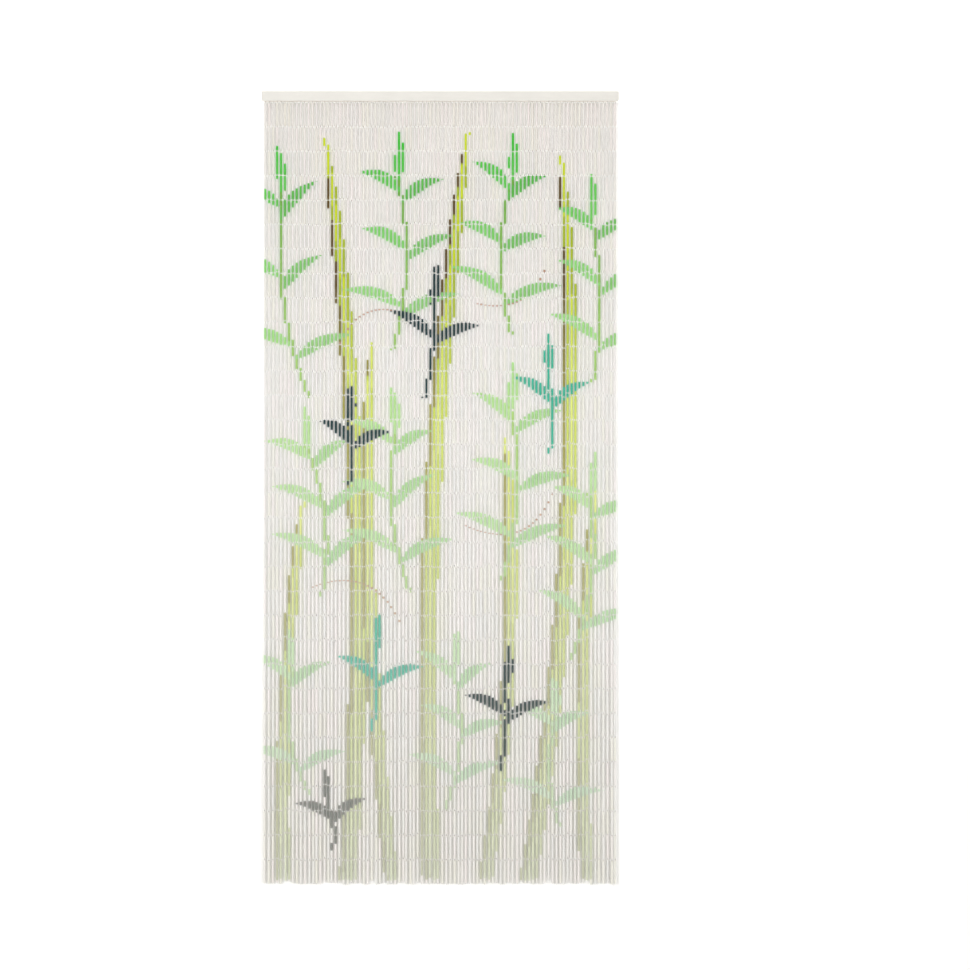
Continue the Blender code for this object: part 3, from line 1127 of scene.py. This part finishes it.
def wall_material(behind_bar, high, low):
    """Matt white wall that is clear from behind and to shadow rays, so that the back can be seen.

    It glows though it is no lamp, which is painted light that lifts the shade cast on it by the curtain
    and the bar: the first strength behind the bar, and below it from high down to GLOW_TOP to low at
    GLOW_FOOT.
    """
    material, tree = new_material("White wall")
    place = own_place(tree)
    height = height_at(tree, place)
    glow = spread_of(tree, height, GLOW_FOOT, GLOW_TOP, low, high)
    # Painted light behind the bar, which lifts the bar's shadow on the wall and lights the bar's back
    extra = spread_of(tree, height, BAR_UNDERSIDE - GLOW_EDGE, BAR_UNDERSIDE, 0.0, behind_bar - high)
    values = {
        "Base Color": (0.94, 0.93, 0.915, 1.0),
        "Roughness": 0.9,
        "Normal": bump_of(tree, noise_of(tree, place, WALL_GRAIN), 0.08, 0.0004),
        "Specular IOR Level": 0.1,
        "Emission Color": PLAIN_WHITE,
        "Emission Strength": math_of(tree, "ADD", glow, extra),
    }
    shader = add_node(tree, "ShaderNodeBsdfPrincipled", values).outputs[0]
    clear = tree.nodes.new("ShaderNodeBsdfTransparent").outputs[0]
    behind = tree.nodes.new("ShaderNodeNewGeometry").outputs["Backfacing"]
    shadow = tree.nodes.new("ShaderNodeLightPath").outputs["Is Shadow Ray"]
    choice = math_of(tree, "MAXIMUM", behind, shadow)
    mixed = add_node(tree, "ShaderNodeMixShader", {0: choice, 1: shader, 2: clear})
    add_node(tree, "ShaderNodeOutputMaterial", {"Surface": mixed.outputs[0]})
    return material


def floor_material(lift):
    """Pale matt floor, which the camera sees lifted a little so that it stays pale far away."""
    material, tree = new_material("Pale floor")
    grain = noise_of(tree, own_place(tree), FLOOR_GRAIN, 3.0)
    seen = tree.nodes.new("ShaderNodeLightPath").outputs["Is Camera Ray"]
    values = {
        "Base Color": (0.82, 0.82, 0.815, 1.0),
        "Roughness": 0.8,
        "Normal": bump_of(tree, grain, 0.05, 0.001),
        "Specular IOR Level": 0.2,
        "Emission Color": PLAIN_WHITE,
        "Emission Strength": math_of(tree, "MULTIPLY", seen, lift),
    }
    finish_material(tree, values)
    return material


def finish_named(name, build, finish):
    """A material by its name, built the first time that it is asked for."""
    return bpy.data.materials.get(name) or build(finish)


def dress(piece, material):
    """Gives a piece its material and its body, and hides the node that it replaces."""
    piece.data.materials.clear()
    piece.data.materials.append(material)
    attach(piece, "root")
    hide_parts("bead_strings")


def shared_strings(pieces):
    """Shares the strings among pieces: each one's number from 1, its first string and the next's."""
    edges = np.linspace(0, STRING_COUNT, pieces + 1).round().astype(int)
    return zip(range(1, pieces + 1), edges[:-1], edges[1:])


# Stage

PHOTO_WIDTH = 970
METRES_PER_PIXEL = 0.00252
PHOTO_MIDDLE = 485.0
BAR_CENTRE_PIXEL_X = 440.2
BAR_TOP_PIXEL_Y = 91.4
SENSOR = 36.0
CAMERA_REACH = 60.0

WALL_HALF_WIDTH = 1.8
WALL_TOP = 0.8
FLOOR_HALF = 12.0

# The wall's own light: how far below the bar the light behind it ends, and between which heights
# the rest fades
GLOW_EDGE = 0.0008
GLOW_TOP = -0.75
GLOW_FOOT = -1.70

# Place, what it is aimed at, width and height of each light
CURTAIN_MIDDLE = (0.0, 0.0, (BAR_HIGH.z + HEM_Z) / 2)
LIGHTS = {
    "key": ((-3.1, -4.6, -0.3), CURTAIN_MIDDLE, 1.6, 2.6),
    "fill": ((3.3, -4.4, -0.9), CURTAIN_MIDDLE, 2.0, 2.6),
    "top": ((0.1, -2.0, 1.2), (0.0, 0.0, -0.3), 1.2, 0.8),
    "back": ((0.4, 4.6, 0.0), CURTAIN_MIDDLE, 3.4, 3.4),
}


def flat_square(name, corners, material):
    """A stage surface with four corners."""
    mesh = bpy.data.meshes.new(name)
    mesh.from_pydata(corners, [], [(0, 1, 2, 3)])
    placed = bpy.data.objects.new(name, mesh)
    placed.data.materials.append(material)
    bpy.context.scene.collection.objects.link(placed)


def soft_light(name, power):
    """A rectangular light of LIGHTS."""
    place, aim, width, height = LIGHTS[name]
    data = bpy.data.lights.new(name, "AREA")
    data.shape = "RECTANGLE"
    data.size, data.size_y = width, height
    data.energy = power
    light = bpy.data.objects.new(name, data)
    light.location = place
    light.rotation_euler = (Vector(aim) - Vector(place)).to_track_quat("-Z", "Y").to_euler()
    bpy.context.scene.collection.objects.link(light)


# Operators


class CurtainBuildBar(bpy.types.Operator):
    """Paint the header bar"""

    bl_idname = "curtain.build_bar"
    bl_label = "Header Bar"

    def execute(self, context):
        paint = finish_named("Cream paint", bar_material, context.scene.curtain_finish)
        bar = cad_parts["header_bar"]
        bar.data.materials.clear()
        bar.data.materials.append(paint)
        return {"FINISHED"}


class CurtainBuildStrip(bpy.types.Operator):
    """Fit the hanging strip into the bar's groove"""

    bl_idname = "curtain.build_strip"
    bl_label = "Hanging Strip"

    def execute(self, context):
        wood = finish_named("Raw wood", strip_material, context.scene.curtain_finish)
        piece = write_mesh("hanging_strip", *strip_mesh())
        dress(piece, wood)
        return {"FINISHED"}


class CurtainBuildTubes(bpy.types.Operator):
    """Thread the printed bamboo tubes"""

    bl_idname = "curtain.build_tubes"
    bl_label = "Bamboo Tubes"

    def execute(self, context):
        scene = context.scene
        sizes = scene.curtain_tubes
        bamboo = finish_named("Coated bamboo", tube_material, scene.curtain_finish)
        tubes = hang_tubes(sizes, scene.curtain_links)
        grid = draw_print()
        colours = ink_colours(grid, scene.curtain_ink)
        cuts = ink_cuts(grid, tubes, sizes.end_round)
        for number, first, last in shared_strings(TUBE_PIECES):
            piece = tube_piece(f"tubes_{number:02d}", first, last, tubes, cuts, colours, sizes)
            dress(piece, bamboo)
        return {"FINISHED"}


class CurtainBuildLinks(bpy.types.Operator):
    """Link the tubes with wire eyes"""

    bl_idname = "curtain.build_links"
    bl_label = "Wire Links"

    def execute(self, context):
        scene = context.scene
        links = scene.curtain_links
        metal = finish_named("Link wire", wire_material, scene.curtain_finish)
        tubes = hang_tubes(scene.curtain_tubes, links)
        for number, first, last in shared_strings(LINK_PIECES):
            piece = link_piece(f"links_{number:02d}", first, last, tubes, links)
            dress(piece, metal)
        return {"FINISHED"}


class CurtainBuildStage(bpy.types.Operator):
    """Set up the wall, floor, lights and camera"""

    bl_idname = "curtain.build_stage"
    bl_label = "Stage"

    def execute(self, context):
        scene = context.scene
        stage = scene.curtain_stage
        wall_y = BAR_HIGH.y + stage.wall_gap
        floor_z = HEM_Z - stage.floor_drop
        side, top, half = WALL_HALF_WIDTH, WALL_TOP, FLOOR_HALF
        wall_turns = ((-side, floor_z), (side, floor_z), (side, top), (-side, top))
        floor_turns = ((-half, -half), (half, -half), (half, half), (-half, half))
        wall_finish = wall_material(stage.glow_behind, stage.glow_high, stage.glow_low)
        flat_square("wall", [(x, wall_y, z) for x, z in wall_turns], wall_finish)
        flat_square("floor", [(x, y, floor_z) for x, y in floor_turns], floor_material(stage.floor_lift))
        for name in LIGHTS:
            soft_light(name, getattr(stage, name))
        self.light_world(scene, stage.sky)
        self.place_camera(scene, stage.lens)
        scene.view_settings.view_transform = "Standard"
        scene.view_settings.look = "None"
        return {"FINISHED"}

    def light_world(self, scene, strength):
        """An even pale sky, which is plain white where it shows behind the part."""
        world = bpy.data.worlds.new("Studio")
        world.use_nodes = True
        tree = world.node_tree
        tree.nodes.clear()
        seen = tree.nodes.new("ShaderNodeLightPath").outputs["Is Camera Ray"]
        power = spread_of(tree, seen, 0.0, 1.0, strength, 1.0)
        sky = add_node(tree, "ShaderNodeBackground", {"Color": PLAIN_WHITE, "Strength": power})
        add_node(tree, "ShaderNodeOutputWorld", {"Surface": sky.outputs[0]})
        scene.world = world

    def place_camera(self, scene, lens):
        """Puts the camera square to the curtain, where its pixels have the photo's size.

        The bar's middle and top lie as many pixels from the picture's middle as in the photo, and
        the distance is the picture's real width times the lens over the sensor.
        """
        width = PHOTO_WIDTH * METRES_PER_PIXEL
        place_x = (PHOTO_MIDDLE - BAR_CENTRE_PIXEL_X) * METRES_PER_PIXEL
        place_z = BAR_HIGH.z - (PHOTO_MIDDLE - BAR_TOP_PIXEL_Y) * METRES_PER_PIXEL
        data = bpy.data.cameras.new("camera")
        data.lens = lens
        data.sensor_width = SENSOR
        data.clip_end = CAMERA_REACH
        camera = bpy.data.objects.new("camera", data)
        camera.location = (place_x, STRING_Y - width * lens / SENSOR, place_z)
        camera.rotation_euler = (math.pi / 2, 0.0, 0.0)
        scene.collection.objects.link(camera)
        scene.camera = camera


class CurtainPanel(bpy.types.Panel):
    """Lists the curtain's pieces and the stage"""

    bl_idname = "CURTAIN_PT_pieces"
    bl_label = "Bamboo Door Curtain"
    bl_space_type = "VIEW_3D"
    bl_region_type = "UI"
    bl_category = "Curtain"

    def draw(self, context):
        layout = self.layout
        for operator in BUILD_ORDER:
            layout.operator(operator.bl_idname)
        for settings in (getattr(context.scene, name) for name in SETTINGS):
            box = layout.box()
            for prop in settings.bl_rna.properties:
                if prop.identifier not in {"rna_type", "name"}:
                    box.prop(settings, prop.identifier)


BUILD_ORDER = (
    CurtainBuildBar,
    CurtainBuildStrip,
    CurtainBuildTubes,
    CurtainBuildLinks,
    CurtainBuildStage,
)

SETTINGS = {
    "curtain_tubes": CurtainTubeSettings,
    "curtain_links": CurtainLinkSettings,
    "curtain_ink": CurtainInkSettings,
    "curtain_finish": CurtainFinishSettings,
    "curtain_stage": CurtainStageSettings,
}


def register():
    """Registers the settings, the operators and the panel."""
    for name, settings in SETTINGS.items():
        bpy.utils.register_class(settings)
        setattr(bpy.types.Scene, name, bpy.props.PointerProperty(type=settings))
    for operator in BUILD_ORDER:
        bpy.utils.register_class(operator)
    bpy.utils.register_class(CurtainPanel)


def unregister():
    """Removes what register added."""
    bpy.utils.unregister_class(CurtainPanel)
    for operator in reversed(BUILD_ORDER):
        bpy.utils.unregister_class(operator)
    for name, settings in reversed(SETTINGS.items()):
        delattr(bpy.types.Scene, name)
        bpy.utils.unregister_class(settings)


def main():
    """Registers the classes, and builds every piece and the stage."""
    register()
    bpy.ops.curtain.build_bar()
    bpy.ops.curtain.build_strip()
    bpy.ops.curtain.build_tubes()
    bpy.ops.curtain.build_links()
    bpy.ops.curtain.build_stage()


if __name__ == "__main__":
    main()
